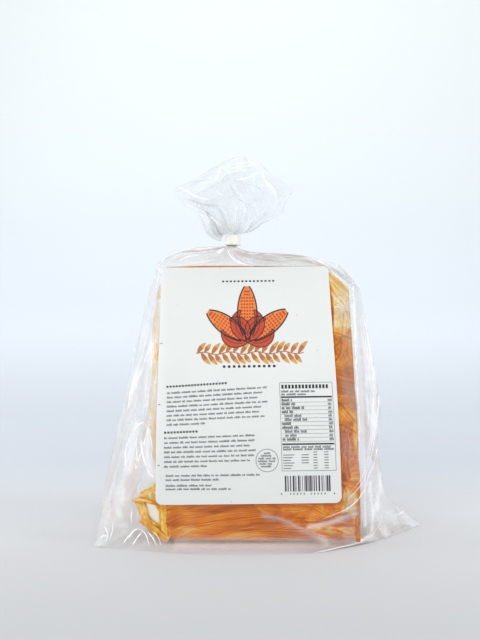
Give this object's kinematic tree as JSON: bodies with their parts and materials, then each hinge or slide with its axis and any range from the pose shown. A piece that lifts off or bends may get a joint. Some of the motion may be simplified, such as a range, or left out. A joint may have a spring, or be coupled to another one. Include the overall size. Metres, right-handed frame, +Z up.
{
  "type": "bag of wrapped tamales",
  "caption": "Clear sealed bag of corn-husk tamales, stacked and standing upright, with a paper label on the front and a taped neck under a loose tuft of film",
  "frame": {"origin": "middle of the bottom of the bounding box: the floor point under the middle of the bag", "axes": "+X to the right as seen from the front, +Y from the label to the back, +Z up from the floor to the tuft"},
  "size_m": [0.191, 0.0692, 0.2238],
  "materials": {
    "film": "clear glossy polythene film, creased",
    "label_paper": "off-white fine-textured label paper",
    "tape": "creamy white vinyl tape",
    "husk": "dried corn husk, ribbed, stained orange by the filling's oil",
    "print": "flat printing ink in several colours"
  },
  "bodies": {
    "root": {"bag": "film", "label": "label_paper", "tie": "tape"}
  },
  "joints": []
}
